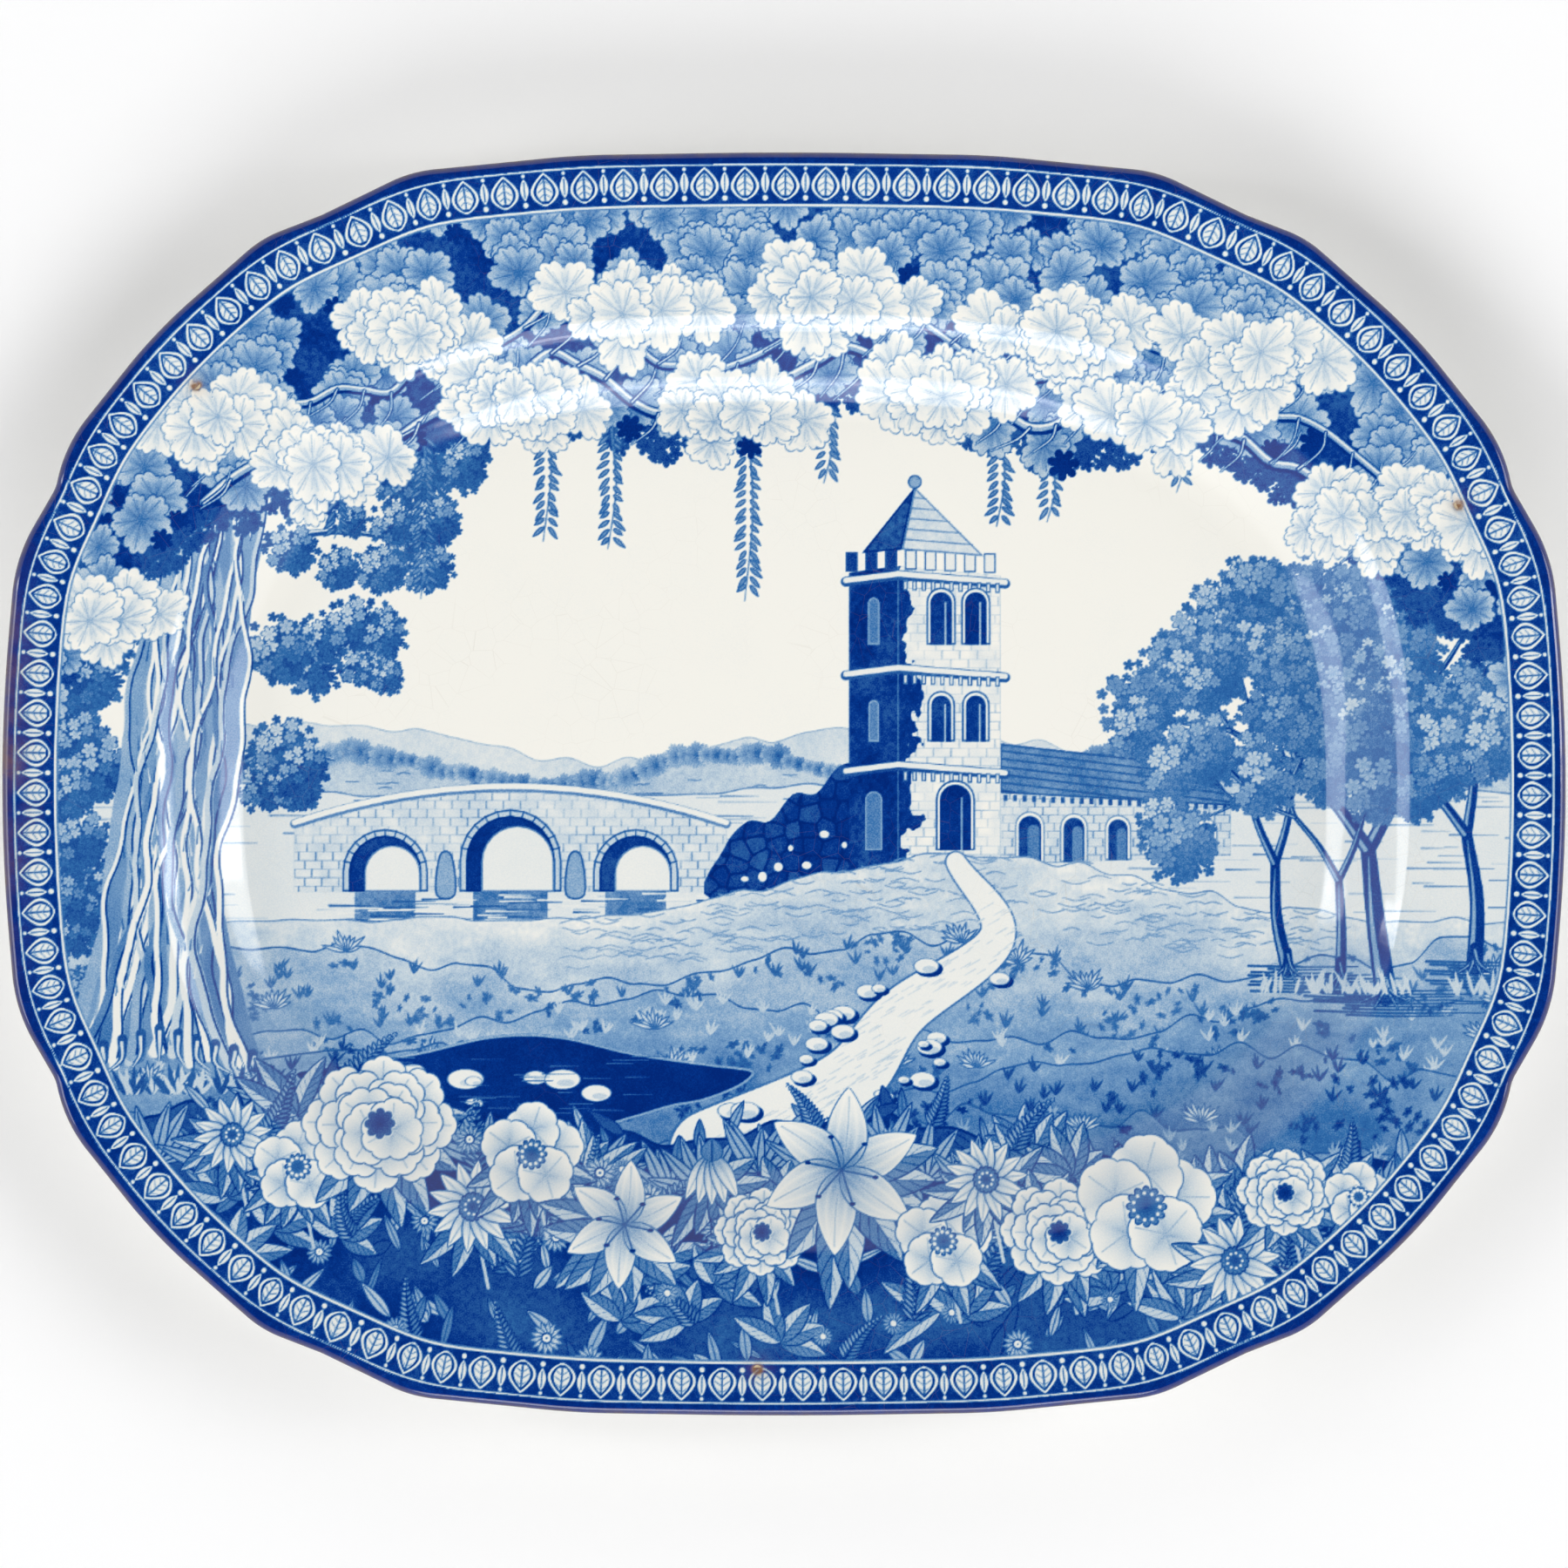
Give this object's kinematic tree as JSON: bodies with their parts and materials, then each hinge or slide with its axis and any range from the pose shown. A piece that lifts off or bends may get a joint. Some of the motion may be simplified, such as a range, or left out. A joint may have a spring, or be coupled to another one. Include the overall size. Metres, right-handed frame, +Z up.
{
  "type": "serving platter",
  "caption": "Oblong blue-printed earthenware serving platter with a shaped lobed edge, sloping rim, deep well and low foot ring.",
  "frame": {"origin": "on the table under the middle of the platter, which stands on its foot ring", "axes": "+X along the length, +Y across the width, towards the top of the printed scene, +Z up out of the well"},
  "size_m": [0.47, 0.3796, 0.04],
  "materials": {
    "clay": "matt fired clay, bare on the foot",
    "printed_glaze": "glossy clear glaze over a cobalt print",
    "clear_glaze": "glossy clear glaze over cream clay"
  },
  "bodies": {
    "root": {"earthenware_body": "clay", "face_glaze": "printed_glaze", "back_glaze": "clear_glaze"}
  },
  "joints": []
}
